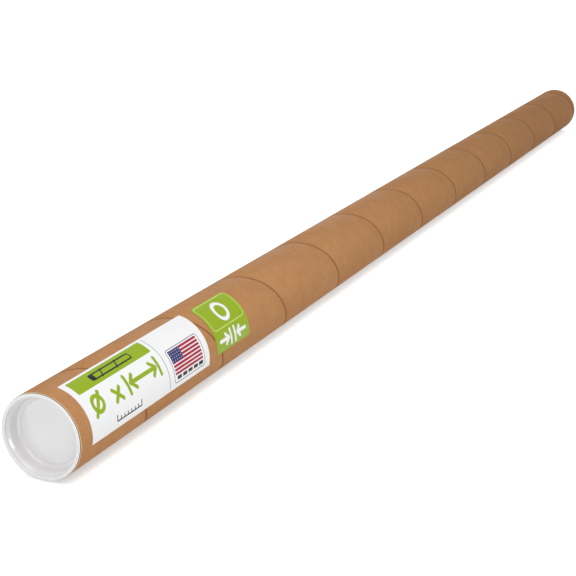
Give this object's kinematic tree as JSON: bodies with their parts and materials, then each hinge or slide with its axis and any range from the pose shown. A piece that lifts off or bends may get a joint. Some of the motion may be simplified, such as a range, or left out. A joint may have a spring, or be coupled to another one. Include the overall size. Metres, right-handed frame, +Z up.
{
  "type": "mailing tube",
  "caption": "Long spiral-wound kraft board mailing tube lying on its side, with a recessed white push-in plastic cap in each end and paper labels near one end.",
  "frame": {"origin": "on the floor under the middle of the tube, at the bottom centre of its box", "axes": "+X along the tube from the labelled end to the far end, -Y the front that the labels face, +Z up"},
  "size_m": [1.2222, 0.0546, 0.0544],
  "materials": {
    "kraft_board": "matte",
    "cap_plastic": "gloss",
    "white_label_paper": "satin",
    "green_label_paper": "satin"
  },
  "bodies": {
    "tube": {"kraft_tube": "kraft_board", "size_label": "white_label_paper", "grade_label": "green_label_paper"},
    "near_cap": {"near_end_cap": "cap_plastic"},
    "far_cap": {"far_end_cap": "cap_plastic"}
  },
  "joints": [
    {"name": "near_cap_pull", "type": "slide", "parent": "tube", "child": "near_cap", "axis": [-1, 0, 0], "range_m": [0, 0.08]},
    {"name": "far_cap_pull", "type": "slide", "parent": "tube", "child": "far_cap", "axis": [1, 0, 0], "range_m": [0, 0.08]}
  ]
}
